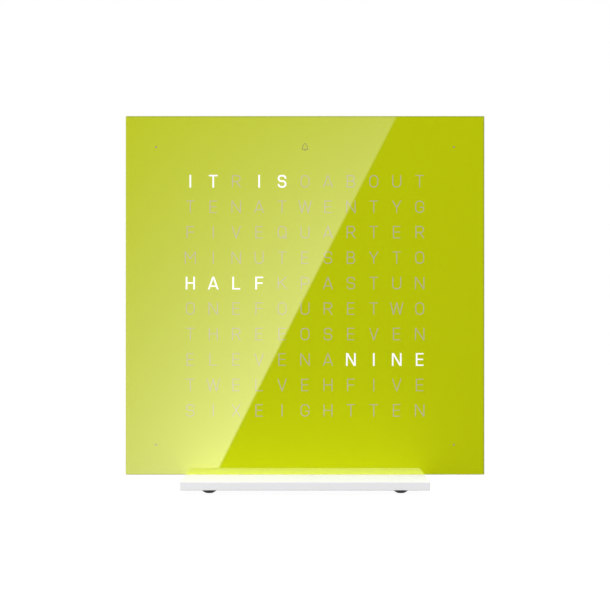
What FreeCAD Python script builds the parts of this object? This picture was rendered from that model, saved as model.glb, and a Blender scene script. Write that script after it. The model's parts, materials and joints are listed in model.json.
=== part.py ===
"""A table word clock: a square acrylic face on a slim metal housing, standing on a small base plate.

Row frame, in millimetres: +X is the viewer's right, the face looks towards -Y, +Z is up.
The origin is at table height, under the centre of the base plate.

From front to back the clock is a stack: acrylic cover, diffuser sheet, light grid (one tapered
cell behind every letter), LED board with its electronics on the back, and a rear cover. A metal
frame of four mitred bars holds the stack. A plinth and a base plate on four rubber bumpers carry
the frame.
"""
import math
import os

import FreeCAD, Part  # noqa: E401  FreeCAD has to be imported before Part
from FreeCAD import Vector

# ---------------------------------------------------------------- front cover
cover_side = 135.0
cover_thickness = 3.0
cover_chamfer = 0.25

# ---------------------------------------------------------------- base plate and bumpers
base_width = 90.0
base_depth = 80.0
base_thickness = 3.0
base_chamfer = 0.1
base_front_reach = 31.0          # from the base's front edge back to the cover's face
foot_height = 1.8
foot_diameter = 6.4              # at the base plate
foot_flat_diameter = 3.8         # on the table
foot_inset = 10.0                # from the base's edges to each bumper's centre

# ---------------------------------------------------------------- housing frame
housing_inset = 4.0              # the cover overhangs the frame by this much all round
frame_wall = 2.0
frame_corner_radius = 3.0
lip_thickness = 1.5
boss_half_width = 2.4
boss_inset = 2.9                 # from the frame's inner wall to a boss's axis
boss_height = 42.0               # above and below the face's centre
pilot_radius = 0.85

# ---------------------------------------------------------------- bonded front layer
tape_thickness = 0.5
tape_setback = 1.0               # from the frame's outside to the tape's outer edge
tape_overhang = 0.4              # the tape stops this far short of the lip's inner edge
diffuser_thickness = 0.5
diffuser_clearance = 0.5

# ---------------------------------------------------------------- light grid
letter_columns = 11
letter_rows = 10
column_pitch = 8.63
row_pitch = 9.58
grid_wall = 1.0
grid_depth = 6.0
cell_throat = 4.6                # square opening of a cell on the LED side
grid_skin = 1.2
grid_clearance = 0.3
flange_thickness = 1.5
flange_clearance = 0.4
boss_clearance = 0.4
rib_thickness = 1.0
upright_rib_place = 24.0         # ribs across the hollow border, from the face's centre
level_rib_place = 8.0
dot_edge = 3.2                   # minute dots and alarm sign, in from the grid's outer wall
dot_mouth = 3.0
dot_throat = 2.2
alarm_cell_width = 7.0
alarm_cell_height = 4.4
alarm_cell_throat = 3.6

# ---------------------------------------------------------------- LED board
board_thickness = 1.6
board_clearance = 1.0            # from the frame's inner wall
letter_led_width = 2.0
letter_led_height = 1.25
led_thickness = 0.7
dot_led_size = 1.2
alarm_led_shift = 1.6            # alarm LED and light sensor sit either side of the cell's middle
sensor_width = 1.4
sensor_height = 1.8
pad_width = 3.0                  # rubber pads between the board and the rear cover
pad_length = 6.0
pad_edge = 1.0                   # from the board's side edges to the pads
pad_height = 22.0                # above and below the face's centre

# ---------------------------------------------------------------- rear cover
rear_cover_thickness = 2.0
rear_cover_chamfer = 0.5
rear_clearance = 0.9             # free height between the tallest part on the board and the cover
rim_height = 1.0
rim_width = 1.2
rim_clearance = 0.2
rim_gap = 0.5                    # cut back of the rim around bosses, pads and the nut bar
sound_slot_length = 6.0
sound_slot_width = 0.9
sound_slot_pitch = 2.0
sound_slot_count = 4

# ---------------------------------------------------------------- setting buttons on the back
button_names = ("hour", "minute", "alarm", "brightness")
button_pitch = 14.0
button_row_height = -27.0        # from the face's centre
button_width = 6.6
button_height = 5.0
button_clearance = 0.3
button_flange_reach = 0.9
button_flange_thickness = 0.8
button_proud = 0.6
button_edge = 0.25
button_travel = 0.4
button_stop_gap = 0.1
recess_depth = 0.8
recess_margin = 2.4
recess_corner_radius = 1.5
switch_side = 6.0
plunger_side = 2.6
plunger_clearance = 0.1
plunger_stub = 1.6               # plunger standing above its switch at rest
plunger_root = 0.9               # plunger hidden in its switch at rest

# ---------------------------------------------------------------- snooze key on the top
key_length = 44.0
key_width = 6.4
key_proud = 0.8                  # below the cover's top edge, so the front never shows it
key_clearance = 0.3
key_flange_reach = 0.8
key_flange_thickness = 1.0
key_edge_bevel = 0.35
key_stop_gap = 0.1
key_travel = 0.6
key_floor_gap = 0.6              # left between the pressed key and the light grid
key_rib_width = 1.2
key_rib_length = 8.0
key_notch_margin = 0.8           # room beside the key's flange in the board and grid
side_switch_width = 6.0
side_switch_depth = 3.4
side_switch_height = 3.4
side_plunger_width = 3.0
side_plunger_depth = 1.2
side_plunger_stub = 0.9
side_plunger_root = 0.9
side_switch_drop = 0.4           # from the board's notch down to the switch's top
spring_length = 34.0
spring_width = 2.0
spring_thickness = 0.3
spring_setback = 0.8             # from the key's front edge to the strip's front edge

# ---------------------------------------------------------------- power inlet
jack_width = 9.0
jack_height = 8.4
jack_depth = 10.5
jack_floor_gap = 0.3             # above the nut bar
jack_bore_radius = 2.9
jack_bore_depth = 9.5            # from the jack's mouth
jack_pin_radius = 1.0
jack_pin_setback = 1.2           # the pin stops this far inside the mouth
inlet_radius = 3.2               # the rear cover's hole for the plug
jack_clearance = 0.4             # board and grid round the jack

# ---------------------------------------------------------------- stand fasteners
plinth_width = 60.0
plinth_depth = 11.5
plinth_corner_bevel = 1.5
nut_bar_width = 62.0
nut_bar_height = 3.6
nut_bar_front_gap = 0.4          # behind the LED board
nut_bar_back_gap = 0.3           # before the rear cover
base_screw_spacing = 40.0
base_screw_count = 2
base_screw_radius = 1.25
base_screw_hole_radius = 1.4
base_screw_head_radius = 2.4
base_screw_head_depth = 1.3
base_screw_tip_gap = 0.5
cover_screw_head_radius = 1.9
cover_screw_head_depth = 1.1
cover_screw_length = 6.0
screw_hole_clearance = 0.15
screw_fit = 0.03                 # shank inside its pilot hole
drive_socket_across = 1.5        # hexagon socket, across its corners
drive_socket_depth = 0.6

# ---------------------------------------------------------------- electronics on the board's back
coin_cell_radius = 10.0
coin_cell_thickness = 3.2
coin_cell_inset = 30.5           # from the board's side edge to the cell's axis
coin_cell_rise = 14.0            # above the face's centre
holder_floor = 0.5               # contact plate under the cell
holder_floor_width = 8.0
holder_gap = 0.2
clip_width = 6.0
clip_thickness = 0.3
clip_foot = 2.5
controller_side = 9.0
controller_thickness = 1.0
controller_place = (0.0, 8.0)
driver_side = 6.0
driver_thickness = 0.9
driver_places = ((-18.0, 40.0), (18.0, 40.0), (-44.0, -6.0), (44.0, -14.0))
crystal_length = 8.0
crystal_width = 3.6
crystal_height = 2.5
crystal_place = (-11.0, 8.0)
buzzer_radius = 4.5
buzzer_height = 3.0
buzzer_place = (-34.0, 18.0)
capacitor_radius = 2.5
capacitor_height = 3.9
capacitor_base_side = 5.3
capacitor_base_height = 0.7
capacitor_spacing = 32.0
capacitor_rise = 3.9             # above the power jack's axis

# ---------------------------------------------------------------- places that follow from the sizes
base_bottom_z = foot_height
base_top_z = base_bottom_z + base_thickness
face_z = base_top_z + cover_side / 2            # height of the face's centre
cover_front_y = -base_depth / 2 + base_front_reach
cover_back_y = cover_front_y + cover_thickness
grid_front_y = cover_back_y + diffuser_thickness
grid_back_y = grid_front_y + grid_depth
board_back_y = grid_back_y + board_thickness
parts_room = holder_floor + coin_cell_thickness + clip_thickness + rear_clearance
frame_front_y = cover_back_y + tape_thickness
frame_back_y = board_back_y + parts_room
frame_mid_y = (frame_front_y + frame_back_y) / 2
lip_back_y = frame_front_y + lip_thickness
rear_face_y = frame_back_y + rear_cover_thickness
frame_side = cover_side - 2 * housing_inset
frame_bottom_z = face_z - frame_side / 2
inner_half = frame_side / 2 - frame_wall
board_half = inner_half - board_clearance
pad_x = board_half - pad_edge - pad_width / 2
coin_cell_x = board_half - coin_cell_inset
flange_half = inner_half - flange_clearance
key_flange_top = inner_half - key_stop_gap
key_flange_bottom = key_flange_top - key_flange_thickness
grid_half = key_flange_bottom - key_travel - key_floor_gap
opening_half = grid_half + grid_clearance
boss_x = inner_half - boss_inset
boss_places = [(side_x * boss_x, side_z * boss_height) for side_x in (-1, 1) for side_z in (-1, 1)]
dot_offset = grid_half - dot_edge
cells_half_x = letter_columns * column_pitch / 2 + grid_wall / 2
cells_half_z = letter_rows * row_pitch / 2 + grid_wall / 2
key_notch_half_x = key_length / 2 + key_flange_reach + key_notch_margin
side_switch_top = grid_half - side_switch_drop  # from the face's centre
side_switch_mid_y = board_back_y + side_switch_depth / 2
button_flange_back_y = frame_back_y - button_stop_gap
button_flange_front_y = button_flange_back_y - button_flange_thickness
switch_top_y = button_flange_front_y - plunger_stub
recess_floor_y = rear_face_y - recess_depth
nut_bar_span_y = (board_back_y + nut_bar_front_gap, frame_back_y - nut_bar_back_gap)
nut_bar_mid_y = sum(nut_bar_span_y) / 2
nut_bar_bottom_z = frame_bottom_z + frame_wall
nut_bar_top = -inner_half + nut_bar_height      # from the face's centre
jack_bottom = nut_bar_top + jack_floor_gap
jack_axis = jack_bottom + jack_height / 2
jack_front_y = frame_back_y - jack_depth
past = 1.0                                      # how far a cutting tool runs past a face


# ---------------------------------------------------------------- shape helpers
def box(x, y, z):
    """A block from (low, high) pairs. z is measured from the table."""
    return Part.makeBox(x[1] - x[0], y[1] - y[0], z[1] - z[0], Vector(x[0], y[0], z[0]))


def face_box(x, y, z):
    """A block whose z pair is measured from the face's centre."""
    return box(x, y, (face_z + z[0], face_z + z[1]))


def rod_y(radius, y, x, z):
    """A round bar along Y. z is measured from the face's centre."""
    return Part.makeCylinder(radius, y[1] - y[0], Vector(x, y[0], face_z + z), Vector(0, 1, 0))


def rod_z(radius, z, x, y):
    """An upright round bar. z is measured from the table."""
    return Part.makeCylinder(radius, z[1] - z[0], Vector(x, y, z[0]))


def cone_y(radii, y, x, z):
    """A cone along Y with its radii at the two ends of y. z is measured from the face's centre."""
    return Part.makeCone(radii[0], radii[1], y[1] - y[0], Vector(x, y[0], face_z + z), Vector(0, 1, 0))


def rounded_outline(half_x, half_z, radius, y, x=0.0, z=0.0):
    """A rounded rectangle as a wire in the XZ plane at y, centred x and z from the face's centre."""
    centre = Vector(x, y, face_z + z)
    straight_x = half_x - radius
    straight_z = half_z - radius
    edges = []
    for turn in range(4):
        angle = turn * math.pi / 2
        sign_x = 1 if turn in (0, 3) else -1
        sign_z = 1 if turn in (0, 1) else -1
        corner = centre + Vector(sign_x * straight_x, 0, sign_z * straight_z)
        ends = []
        for step in (0, 0.5, 1):
            swing = angle + step * math.pi / 2
            ends.append(corner + Vector(math.cos(swing), 0, math.sin(swing)) * radius)
        edges.append((ends, Part.Arc(*ends).toShape()))
    wire = []
    for turn, (ends, arc) in enumerate(edges):
        next_start = edges[(turn + 1) % 4][0][0]
        wire.append(arc)
        if (next_start - ends[2]).Length > 1e-6:
            wire.append(Part.LineSegment(ends[2], next_start).toShape())
    return Part.Wire(wire)


def slab(half_x, half_z, radius, y, x=0.0, z=0.0):
    """A rounded rectangular plate between the two y values."""
    outline = rounded_outline(half_x, half_z, radius, y[0], x, z)
    return Part.Face(outline).extrude(Vector(0, y[1] - y[0], 0))


def tapered_hole(front, back, y, x, z):
    """A four-sided funnel from its front to its back opening (width, height), run past both ends."""
    run = y[1] - y[0]
    ends = []
    for along in (-past / run, 1 + past / run):
        half_w = (front[0] + (back[0] - front[0]) * along) / 2
        half_h = (front[1] + (back[1] - front[1]) * along) / 2
        ends.append((x - half_w, x + half_w, face_z + z - half_h, face_z + z + half_h))
    (x0, x1, z0, z1), (x2, x3, z2, z3) = ends
    return Part.makeWedge(x0, y[0] - past, z0, z2, x2, x1, y[1] + past, z1, z3, x3)


def hexagon(across, centre, normal, length):
    """A six-sided bar, measured across its corners, from centre along normal."""
    side_way = Vector(1, 0, 0)
    other_way = normal.cross(side_way)
    corners = []
    for step in range(7):
        angle = step * math.pi / 3
        corners.append(centre + (side_way * math.cos(angle) + other_way * math.sin(angle)) * (across / 2))
    return Part.Face(Part.makePolygon(corners)).extrude(normal * length)


def edges_on(shape, axis, level):
    """The edges of a shape that lie wholly at one level of axis 'x', 'y' or 'z'."""
    low, high = {"x": ("XMin", "XMax"), "y": ("YMin", "YMax"), "z": ("ZMin", "ZMax")}[axis]
    found = []
    for edge in shape.Edges:
        bounds = edge.BoundBox
        if abs(getattr(bounds, low) - level) < 1e-4 and abs(getattr(bounds, high) - level) < 1e-4:
            found.append(edge)
    return found


def mirrored_places(x, z):
    """The four places at (+-x, +-z)."""
    return [(sx * x, sz * z) for sx in (-1, 1) for sz in (-1, 1)]


def cell_places():
    """Column and row centres of the letter cells, from the face's centre."""
    for row in range(letter_rows):
        for column in range(letter_columns):
            x = (column - (letter_columns - 1) / 2) * column_pitch
            z = ((letter_rows - 1) / 2 - row) * row_pitch
            yield x, z


def button_place(index):
    """X of one setting button, counted from the left as seen from behind."""
    return ((len(button_names) - 1) / 2 - index) * button_pitch


def key_span_y(extra=0.0):
    """The snooze key's front and back, widened by extra."""
    return frame_mid_y - key_width / 2 - extra, frame_mid_y + key_width / 2 + extra


# ---------------------------------------------------------------- front of the clock
def make_front_cover():
    """Acrylic sheet with polished, slightly chamfered edges."""
    half = cover_side / 2
    sheet = face_box((-half, half), (cover_front_y, cover_back_y), (-half, half))
    return sheet.makeChamfer(min(cover_chamfer, cover_thickness / 3), sheet.Edges)


def make_cover_tape():
    """Ring of foam tape that bonds the cover to the frame's lip."""
    outer = frame_side / 2 - tape_setback
    inner = opening_half + tape_overhang
    span = (cover_back_y, frame_front_y)
    ring = face_box((-outer, outer), span, (-outer, outer))
    return ring.cut(face_box((-inner, inner), (span[0] - past, span[1] + past), (-inner, inner)))


def make_diffuser_sheet():
    """Milky film that lies behind the cover inside the tape ring."""
    half = opening_half + tape_overhang - diffuser_clearance
    return face_box((-half, half), (cover_back_y, cover_back_y + diffuser_thickness), (-half, half))


# ---------------------------------------------------------------- light grid
def boss_block(x, z, extra, y):
    """A boss's block from its inner side to the frame's wall, widened by extra."""
    half = boss_half_width + extra
    inner_x = x - math.copysign(half, x)
    wall_x = math.copysign(inner_half + frame_wall / 2, x)
    return face_box(sorted((inner_x, wall_x)), y, (z - half, z + half))


def make_light_grid():
    """White moulding with a tapered light cell behind every letter, dot and sign."""
    span = (grid_front_y, grid_back_y)
    body = face_box((-grid_half, grid_half), span, (-grid_half, grid_half))
    flange_span = (lip_back_y, lip_back_y + flange_thickness)
    body = body.fuse(face_box((-flange_half, flange_half), flange_span, (-flange_half, flange_half)))

    # hollow border between the cell block and the outer wall, closed in front by a skin
    pocket_span = (grid_front_y + grid_skin, grid_back_y + past)
    pocket_half = grid_half - grid_skin
    pocket = face_box((-pocket_half, pocket_half), pocket_span, (-pocket_half, pocket_half))
    core = face_box((-cells_half_x, cells_half_x), pocket_span, (-cells_half_z, cells_half_z))
    kept = [core]
    half_tube = dot_mouth / 2 + grid_wall
    for x, z in mirrored_places(dot_offset, dot_offset):
        kept.append(face_box((x - half_tube, x + half_tube), pocket_span, (z - half_tube, z + half_tube)))
    sign_half_x = alarm_cell_width / 2 + grid_wall
    sign_z = (cells_half_z - past, pocket_half + past)
    kept.append(face_box((-sign_half_x, sign_half_x), pocket_span, sign_z))
    half_rib = rib_thickness / 2
    for x, side in mirrored_places(upright_rib_place, 1):
        border = sorted((side * cells_half_z, side * grid_half))
        kept.append(face_box((x - half_rib, x + half_rib), pocket_span, border))
    for side, z in mirrored_places(1, level_rib_place):
        border = sorted((side * cells_half_x, side * grid_half))
        kept.append(face_box(border, pocket_span, (z - half_rib, z + half_rib)))
    for x, z in boss_places:
        kept.append(boss_block(x, z, boss_clearance + grid_skin, pocket_span))
    cuts = [pocket.cut(kept)]
    front = (column_pitch - grid_wall, row_pitch - grid_wall)
    for x, z in cell_places():
        cuts.append(tapered_hole(front, (cell_throat, cell_throat), span, x, z))
    mouth = (alarm_cell_width, alarm_cell_height)
    throat = (alarm_cell_width, alarm_cell_throat)
    cuts.append(tapered_hole(mouth, throat, span, 0.0, dot_offset))
    for x, z in mirrored_places(dot_offset, dot_offset):
        cuts.append(tapered_hole((dot_mouth, dot_mouth), (dot_throat, dot_throat), span, x, z))
    reach = (lip_back_y - grid_clearance, grid_back_y + past)
    for x, z in boss_places:
        cuts.append(boss_block(x, z, boss_clearance, reach))
    cuts.append(key_notch())
    cuts.append(jack_room((jack_front_y - jack_clearance, grid_back_y + past)))
    return body.cut(cuts)


def key_notch():
    """Room for the snooze key's flange in the edge of the board and of the grid's flange."""
    spread = (frame_front_y, frame_back_y)
    return face_box((-key_notch_half_x, key_notch_half_x), spread, (grid_half, inner_half + past))


def jack_room(y):
    """Space round the power jack."""
    half_x = jack_width / 2 + jack_clearance
    low = jack_bottom - jack_clearance
    high = jack_bottom + jack_height + jack_clearance
    return face_box((-half_x, half_x), y, (low, high))


# ---------------------------------------------------------------- LED board
def make_led_board():
    """Square circuit board, notched round the frame's bosses, the snooze key and the power jack."""
    span = (grid_back_y, board_back_y)
    board = face_box((-board_half, board_half), span, (-board_half, board_half))
    through = (span[0] - past, span[1] + past)
    cuts = [key_notch(), jack_room(through)]
    for x, z in boss_places:
        cuts.append(boss_block(x, z, boss_clearance, through))
    return board.cut(cuts)


def pad_block(x, z, extra, y):
    """One rubber pad's block, widened by extra."""
    half_x = pad_width / 2 + extra
    half_z = pad_length / 2 + extra
    return face_box((x - half_x, x + half_x), y, (z - half_z, z + half_z))


def make_board_pads():
    """Four rubber pads through which the rear cover holds the board and grid against the lip."""
    span = (board_back_y, frame_back_y)
    return Part.makeCompound([pad_block(x, z, 0.0, span) for x, z in mirrored_places(pad_x, pad_height)])


def led_block(width, height, x, z):
    """A surface-mount LED on the board's front."""
    span = (grid_back_y - led_thickness, grid_back_y)
    return face_box((x - width / 2, x + width / 2), span, (z - height / 2, z + height / 2))


def make_letter_leds():
    """One LED in every letter cell."""
    leds = [led_block(letter_led_width, letter_led_height, x, z) for x, z in cell_places()]
    return Part.makeCompound(leds)


def make_minute_leds():
    """One LED in each corner tube."""
    corners = mirrored_places(dot_offset, dot_offset)
    return Part.makeCompound([led_block(dot_led_size, dot_led_size, x, z) for x, z in corners])


def make_alarm_led():
    """The LED behind the alarm sign."""
    return led_block(letter_led_width, letter_led_height, -alarm_led_shift, dot_offset)


def make_light_sensor():
    """Phototransistor that shares the alarm sign's cell and dims the letters at night."""
    return led_block(sensor_width, sensor_height, alarm_led_shift, dot_offset)


def chip(side, thickness, place):
    """A flat chip on the board's back."""
    x, z = place
    half = side / 2
    return face_box((x - half, x + half), (board_back_y, board_back_y + thickness), (z - half, z + half))


def make_controller_chip():
    return chip(controller_side, controller_thickness, controller_place)


def make_led_drivers():
    return Part.makeCompound([chip(driver_side, driver_thickness, place) for place in driver_places])


def make_crystal():
    """Metal can of the time base."""
    x, z = crystal_place
    half_x = crystal_width / 2
    half_z = crystal_length / 2
    span = (board_back_y, board_back_y + crystal_height)
    return face_box((x - half_x, x + half_x), span, (z - half_z, z + half_z))


def make_buzzer():
    """Round alarm buzzer that sounds through the rear cover's slots."""
    x, z = buzzer_place
    return rod_y(buzzer_radius, (board_back_y, board_back_y + buzzer_height), x, z)


def make_capacitors():
    """Two can capacitors, each standing on its square base."""
    pieces = []
    z = jack_axis + capacitor_rise
    half = capacitor_base_side / 2
    foot_top = board_back_y + capacitor_base_height
    for x in (-capacitor_spacing / 2, capacitor_spacing / 2):
        pieces.append(face_box((x - half, x + half), (board_back_y, foot_top), (z - half, z + half)))
        pieces.append(rod_y(capacitor_radius, (foot_top, board_back_y + capacitor_height), x, z))
    return Part.makeCompound(pieces)


def make_coin_cell():
    """Backup cell that keeps the time when the power is off."""
    x, z = coin_cell_x, coin_cell_rise
    low = board_back_y + holder_floor
    return rod_y(coin_cell_radius, (low, low + coin_cell_thickness), x, z)


def make_coin_cell_holder():
    """A contact plate under the cell and a bent spring clip over it, on two feet."""
    x, z = coin_cell_x, coin_cell_rise
    side = coin_cell_radius + holder_gap
    low = board_back_y
    top = low + holder_floor + coin_cell_thickness
    half_clip = (z - clip_width / 2, z + clip_width / 2)
    half_floor = (z - holder_floor_width / 2, z + holder_floor_width / 2)
    pieces = [face_box((x - side, x + side), (low, low + holder_floor), half_floor)]
    pieces.append(face_box((x - side, x + side), (top, top + clip_thickness), half_clip))
    for way in (-1, 1):
        wall = sorted((x + way * side, x + way * (side + clip_thickness)))
        foot = sorted((x + way * side, x + way * (side + clip_foot)))
        pieces.append(face_box(wall, (low, top + clip_thickness), half_clip))
        pieces.append(face_box(foot, (low, low + clip_thickness), half_clip))
    return pieces[0].fuse(pieces[1:]).removeSplitter()


# ---------------------------------------------------------------- housing
def make_housing_frame():
    """Four mitred metal bars with a front lip, screw bosses, a slot for the key and stand holes."""
    half = frame_side / 2
    span = (frame_front_y, frame_back_y)
    frame = slab(half, half, frame_corner_radius, span)
    inside_y = (lip_back_y, frame_back_y + past)
    inside = face_box((-inner_half, inner_half), inside_y, (-inner_half, inner_half))
    window_y = (frame_front_y - past, lip_back_y + past)
    window = face_box((-opening_half, opening_half), window_y, (-opening_half, opening_half))
    frame = frame.cut([inside, window])
    frame = frame.fuse([boss_block(x, z, 0.0, (lip_back_y, frame_back_y)) for x, z in boss_places])
    pilot_span = (lip_back_y, frame_back_y + past)
    cuts = [rod_y(pilot_radius, pilot_span, x, z) for x, z in boss_places]
    slot_y = key_span_y(key_clearance)
    slot_half = key_length / 2 + key_clearance
    cuts.append(face_box((-slot_half, slot_half), slot_y, (inner_half - past / 2, half + past)))
    for x in base_screw_places():
        floor = (frame_bottom_z - past, frame_bottom_z + frame_wall + past)
        cuts.append(rod_z(base_screw_hole_radius, floor, x, nut_bar_mid_y))
    frame = frame.cut(cuts)
    return Part.makeCompound([frame.common(sector(turn)).Solids[0] for turn in range(4)])


def sector(turn):
    """A quarter of the frame's square, between the two diagonals, on the side that turn counts."""
    reach = frame_side
    centre = Vector(0, frame_front_y - past, face_z)
    corners = [centre]
    for step in (turn - 0.5, turn + 0.5):
        angle = step * math.pi / 2
        corners.append(centre + Vector(math.cos(angle), 0, math.sin(angle)) * reach)
    outline = Part.makePolygon(corners + [centre])
    return Part.Face(outline).extrude(Vector(0, frame_back_y - frame_front_y + 2 * past, 0))


def make_rear_cover():
    """Metal back plate with a locating rim, a recess for the buttons, and its holes."""
    half = frame_side / 2
    plate = slab(half, half, frame_corner_radius, (frame_back_y, rear_face_y))
    break_edge = min(rear_cover_chamfer, rear_cover_thickness / 3)
    plate = plate.makeChamfer(break_edge, edges_on(plate, "y", rear_face_y))

    rim_half = inner_half - rim_clearance
    rim_span = (frame_back_y - rim_height, frame_back_y)
    rim = face_box((-rim_half, rim_half), rim_span, (-rim_half, rim_half))
    core_half = rim_half - rim_width
    core_span = (rim_span[0] - past, rim_span[1] + past)
    gaps = [face_box((-core_half, core_half), core_span, (-core_half, core_half))]
    gaps.extend(boss_block(x, z, rim_gap, core_span) for x, z in boss_places)
    gaps.extend(pad_block(x, z, rim_gap, core_span) for x, z in mirrored_places(pad_x, pad_height))
    bar_half = nut_bar_width / 2 + rim_gap
    bar_z = (-inner_half - past, nut_bar_top + rim_gap)
    gaps.append(face_box((-bar_half, bar_half), core_span, bar_z))
    for x, z in mirrored_places(rim_half, rim_half):
        reach = frame_corner_radius
        gaps.append(face_box((x - reach, x + reach), core_span, (z - reach, z + reach)))
    plate = plate.fuse(rim.cut(gaps))

    cuts = []
    recess_half_z = button_height / 2 + recess_margin
    recess_half_x = button_place(0) + button_width / 2 + recess_margin
    recess_span = (recess_floor_y, rear_face_y + past)
    recess = slab(recess_half_x, recess_half_z, recess_corner_radius, recess_span, 0.0, button_row_height)
    cuts.append(recess)
    through = (frame_back_y - rim_height - past, rear_face_y + past)
    for index in range(len(button_names)):
        cuts.append(button_block(index, button_clearance, through))
    cuts.append(rod_y(inlet_radius, through, 0.0, jack_axis))
    slot_mid_x, slot_mid_z = buzzer_place
    slot_x = (slot_mid_x - sound_slot_length / 2, slot_mid_x + sound_slot_length / 2)
    for index in range(sound_slot_count):
        z = slot_mid_z + (index - (sound_slot_count - 1) / 2) * sound_slot_pitch
        cuts.append(face_box(slot_x, through, (z - sound_slot_width / 2, z + sound_slot_width / 2)))
    for x, z in boss_places:
        cuts.append(rod_y(pilot_radius + screw_hole_clearance, through, x, z))
        cuts.append(countersink(x, z, screw_hole_clearance))
    return plate.cut(cuts)


def countersink(x, z, clearance):
    """The cone of a cover screw's head, widened by a clearance."""
    depth = cover_screw_head_depth
    radii = (pilot_radius + clearance, cover_screw_head_radius + clearance)
    return cone_y(radii, (rear_face_y - depth, rear_face_y), x, z)


def make_cover_screws():
    """Four countersunk screws that close the back."""
    screws = []
    shank_radius = pilot_radius - screw_fit
    for x, z in boss_places:
        neck_y = rear_face_y - cover_screw_head_depth
        shank = rod_y(shank_radius, (rear_face_y - cover_screw_length, neck_y), x, z)
        head = cone_y((shank_radius, cover_screw_head_radius), (neck_y, rear_face_y), x, z)
        seat = Vector(x, rear_face_y - drive_socket_depth, face_z + z)
        socket = hexagon(drive_socket_across, seat, Vector(0, 1, 0), drive_socket_depth + past)
        screws.append(shank.fuse(head).cut(socket))
    return Part.makeCompound(screws)


# ---------------------------------------------------------------- setting buttons
def button_block(index, extra, y):
    """A setting button's rectangular block, widened by extra."""
    x = button_place(index)
    z = button_row_height
    half_x = button_width / 2 + extra
    half_z = button_height / 2 + extra
    return face_box((x - half_x, x + half_x), y, (z - half_z, z + half_z))


def make_button(index):
    """A captive button: flange inside the rear cover, bevelled head outside."""
    flange = button_block(index, button_flange_reach, (button_flange_front_y, button_flange_back_y))
    top = recess_floor_y + button_proud
    head = button_block(index, 0.0, (button_flange_front_y, top))
    head = head.makeChamfer(min(button_edge, button_proud / 2), edges_on(head, "y", top))
    return flange.fuse(head).removeSplitter()


def make_button_plunger(index):
    """The moving pin of one push switch, touching its button's flange."""
    return plunger_block(index, 0.0, (switch_top_y - plunger_root, button_flange_front_y))


def plunger_block(index, clearance, y):
    """A square bar on a button's axis, widened by a clearance."""
    x = button_place(index)
    z = button_row_height
    half = plunger_side / 2 + clearance
    return face_box((x - half, x + half), y, (z - half, z + half))


def make_button_switches():
    """Four push switches on the board, each with a blind well for its plunger."""
    bodies = []
    half = switch_side / 2
    z = button_row_height
    depth = plunger_root + button_travel + button_stop_gap
    for index in range(len(button_names)):
        x = button_place(index)
        body = face_box((x - half, x + half), (board_back_y, switch_top_y), (z - half, z + half))
        well = plunger_block(index, plunger_clearance, (switch_top_y - depth, switch_top_y + past))
        bodies.append(body.cut(well))
    return Part.makeCompound(bodies)


# ---------------------------------------------------------------- snooze key
def make_snooze_key():
    """Press bar in the top of the frame, with a flange that keeps it in and a rib over its switch."""
    half_x = key_length / 2
    top = frame_side / 2 + key_proud
    head = face_box((-half_x, half_x), key_span_y(), (key_flange_bottom, top))
    top_edges = edges_on(head, "z", face_z + top)
    head = head.makeChamfer(min(key_edge_bevel, key_proud / 2), top_edges)
    reach = key_flange_reach
    flange_z = (key_flange_bottom, key_flange_top)
    flange = face_box((-half_x - reach, half_x + reach), key_span_y(reach), flange_z)
    rib = face_box(
        (-key_rib_length / 2, key_rib_length / 2),
        (side_switch_mid_y - key_rib_width / 2, side_switch_mid_y + key_rib_width / 2),
        (side_switch_top + side_plunger_stub, key_flange_top),
    )
    return head.fuse([flange, rib]).removeSplitter()


def make_snooze_plunger():
    """The moving blade of the snooze switch."""
    return face_box(
        (-side_plunger_width / 2, side_plunger_width / 2),
        (side_switch_mid_y - side_plunger_depth / 2, side_switch_mid_y + side_plunger_depth / 2),
        (side_switch_top - side_plunger_root, side_switch_top + side_plunger_stub),
    )


def make_snooze_switch():
    """Side-acting switch on the board's back, with a slot for its blade."""
    half = side_switch_width / 2
    span = (board_back_y, board_back_y + side_switch_depth)
    body = face_box((-half, half), span, (side_switch_top - side_switch_height, side_switch_top))
    slot_half_x = side_plunger_width / 2 + plunger_clearance
    slot_half_y = side_plunger_depth / 2 + plunger_clearance
    slot_floor = side_switch_top - side_plunger_root - key_travel - key_stop_gap
    slot = face_box(
        (-slot_half_x, slot_half_x),
        (side_switch_mid_y - slot_half_y, side_switch_mid_y + slot_half_y),
        (slot_floor, side_switch_top + past),
    )
    return body.cut(slot)


def make_snooze_spring():
    """Bowed strip of spring steel between the light grid's top wall and the key."""
    bottom = face_z + grid_half
    top = face_z + key_flange_bottom
    half = spring_length / 2
    front = key_span_y()[0] + spring_setback

    def bow(low, high):
        ends = [Vector(-half, front, low), Vector(0, front, high), Vector(half, front, low)]
        return ends, Part.Arc(*ends).toShape()

    lower_ends, lower = bow(bottom, top - spring_thickness)
    upper_ends, upper = bow(bottom + spring_thickness, top)
    left = Part.LineSegment(lower_ends[0], upper_ends[0]).toShape()
    right = Part.LineSegment(upper_ends[2], lower_ends[2]).toShape()
    outline = Part.Wire([lower, right, upper, left])
    return Part.Face(outline).extrude(Vector(0, spring_width, 0))


# ---------------------------------------------------------------- power inlet
def make_power_jack():
    """Barrel socket that faces the rear cover's hole."""
    half_x = jack_width / 2
    jack_z = (jack_bottom, jack_bottom + jack_height)
    body = face_box((-half_x, half_x), (jack_front_y, frame_back_y), jack_z)
    seat_y = frame_back_y - jack_bore_depth
    return body.cut(rod_y(jack_bore_radius, (seat_y, frame_back_y + past), 0.0, jack_axis))


def make_jack_pin():
    """Centre contact of the socket, set back from its mouth."""
    pin_y = (frame_back_y - jack_bore_depth, frame_back_y - jack_pin_setback)
    return rod_y(jack_pin_radius, pin_y, 0.0, jack_axis)


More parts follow.
